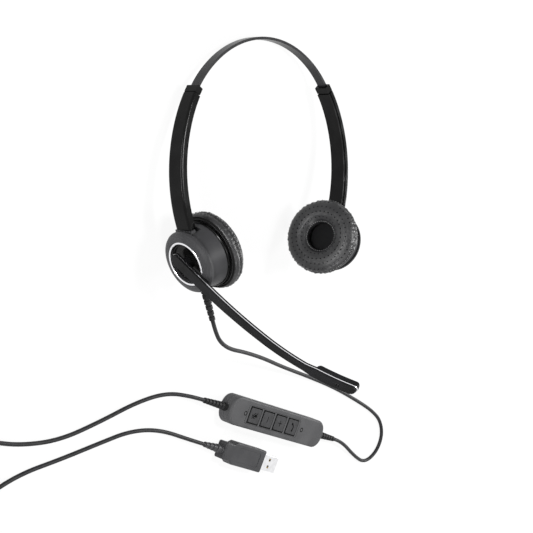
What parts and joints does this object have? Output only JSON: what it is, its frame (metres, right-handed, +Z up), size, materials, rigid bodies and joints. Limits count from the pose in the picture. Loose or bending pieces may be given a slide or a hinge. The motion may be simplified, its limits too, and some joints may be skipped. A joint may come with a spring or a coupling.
{
  "type": "office headset",
  "caption": "Over-the-head wired office headset with a swinging microphone boom, padded ear cushions, an in-line button box and a USB plug, lying on its back with its cord tied in a coil.",
  "frame": {"origin": "middle of the headset's footprint on the surface it lies on, cord and what is on it left out", "axes": "+Z up from the surface, +Y from the cups towards the crown of the headband, +X towards the cup without the boom"},
  "size_m": [0.4654, 0.3462, 0.1425],
  "materials": {
    "gloss_shell": "high gloss",
    "satin_shell": "satin",
    "hub_gloss": "high gloss",
    "boom_shell": "satin",
    "boom_line": "satin",
    "spring_steel": "satin black",
    "chrome_trim": "polished",
    "fastener_steel": "zinc plated",
    "leatherette": "fine grain, perforated",
    "speaker_cloth": "woven",
    "speaker_basket": "matte",
    "speaker_film": "clear film",
    "magnet_steel": "plain",
    "cord_jacket": "matte",
    "relief_rubber": "matte",
    "box_shell": "fine texture",
    "key_rubber": "matte",
    "circuit_board": "solder mask",
    "light_pipe": "translucent",
    "plug_grip": "fine texture",
    "plug_metal": "nickel plated",
    "plug_insulator": "plain",
    "contact_gold": "gold plated"
  },
  "bodies": {
    "left_cup": {"left_outer_cover": "satin_shell", "left_cone_housing": "satin_shell", "left_pivot_pin": "fastener_steel", "left_cushion_plate": "satin_shell", "left_housing_screws": "fastener_steel", "left_speaker_frame": "speaker_basket", "left_speaker_magnet": "magnet_steel", "left_speaker_diaphragm": "speaker_film", "left_speaker_cloth": "speaker_cloth", "left_ear_cushion": "leatherette", "left_chrome_ring": "chrome_trim", "boom_seat": "hub_gloss", "cup_strain_relief": "relief_rubber", "headset_cord": "cord_jacket", "box_cord": "cord_jacket", "plug_cord": "cord_jacket", "cord_coil": "cord_jacket", "cord_tie": "relief_rubber", "box_top": "box_shell", "box_bottom": "box_shell", "box_board": "circuit_board", "box_lights": "light_pipe", "box_strain_reliefs": "relief_rubber", "plug_grip": "plug_grip", "plug_shell": "plug_metal", "plug_tongue": "plug_insulator", "plug_contacts": "contact_gold"},
    "left_knuckle": {"left_knuckle": "satin_shell"},
    "left_arm": {"left_arm_shell": "gloss_shell", "left_arm_cover": "gloss_shell", "left_arm_collar": "satin_shell"},
    "headband": {"headband_spring": "spring_steel", "band_end_stops": "satin_shell"},
    "right_arm": {"right_arm_shell": "gloss_shell", "right_arm_cover": "gloss_shell", "right_arm_collar": "satin_shell"},
    "right_knuckle": {"right_knuckle": "satin_shell"},
    "right_cup": {"right_outer_cover": "satin_shell", "right_cone_housing": "satin_shell", "right_pivot_pin": "fastener_steel", "right_cushion_plate": "satin_shell", "right_housing_screws": "fastener_steel", "right_speaker_frame": "speaker_basket", "right_speaker_magnet": "magnet_steel", "right_speaker_diaphragm": "speaker_film", "right_speaker_cloth": "speaker_cloth", "right_ear_cushion": "leatherette", "right_chrome_ring": "chrome_trim", "right_centre_cap": "hub_gloss"},
    "boom": {"boom_outer_shell": "boom_shell", "boom_inner_shell": "boom_shell", "boom_trim": "boom_line", "mic_capsule": "magnet_steel", "boom_washer": "fastener_steel", "boom_screw": "fastener_steel"},
    "mute_button": {"mute_key": "key_rubber"},
    "volume_down_button": {"volume_down_key": "key_rubber"},
    "volume_up_button": {"volume_up_key": "key_rubber"},
    "call_button": {"call_key": "key_rubber"}
  },
  "joints": [
    {"name": "left_tilt", "type": "hinge", "parent": "left_cup", "child": "left_knuckle", "pos_m": [-0.073, -0.02609, 0.02396], "axis": [-0.0893, 0.1511, 0.9845], "range_deg": [-10.5, 2]},
    {"name": "left_swivel", "type": "hinge", "parent": "left_knuckle", "child": "left_arm", "pos_m": [-0.073, -0.02609, 0.02396], "axis": [-0.2923, 0.9409, -0.171], "range_deg": [-22, 14]},
    {"name": "left_slide", "type": "slide", "parent": "left_arm", "child": "headband", "axis": [0.457, 0.878, -0.1427], "range_m": [0, 0.015]},
    {"name": "right_slide", "type": "slide", "parent": "headband", "child": "right_arm", "axis": [0.457, -0.8744, 0.1631], "range_m": [-0.0025, 0.0125]},
    {"name": "right_swivel", "type": "hinge", "parent": "right_arm", "child": "right_knuckle", "pos_m": [0.073, -0.02772, 0.0276], "axis": [0.2923, 0.9432, -0.1579], "range_deg": [-32, 4]},
    {"name": "right_tilt", "type": "hinge", "parent": "right_knuckle", "child": "right_cup", "pos_m": [0.073, -0.02772, 0.0276], "axis": [-0.2093, -0.098, -0.9729], "range_deg": [-2, 10.5]},
    {"name": "boom_swing", "type": "hinge", "parent": "left_cup", "child": "boom", "pos_m": [-0.07653, -0.04066, 0.02587], "axis": [0.9521, 0.303, 0.0399], "range_deg": [-200, 55]},
    {"name": "mute_press", "type": "slide", "parent": "left_cup", "child": "mute_button", "axis": [0, 0, -1], "range_m": [0, 0.0006], "stiffness_N_per_m": 1500},
    {"name": "volume_down_press", "type": "slide", "parent": "left_cup", "child": "volume_down_button", "axis": [0, 0, -1], "range_m": [0, 0.0006], "stiffness_N_per_m": 1500},
    {"name": "volume_up_press", "type": "slide", "parent": "left_cup", "child": "volume_up_button", "axis": [0, 0, -1], "range_m": [0, 0.0006], "stiffness_N_per_m": 1500},
    {"name": "call_press", "type": "slide", "parent": "left_cup", "child": "call_button", "axis": [0, 0, -1], "range_m": [0, 0.0006], "stiffness_N_per_m": 1500}
  ]
}
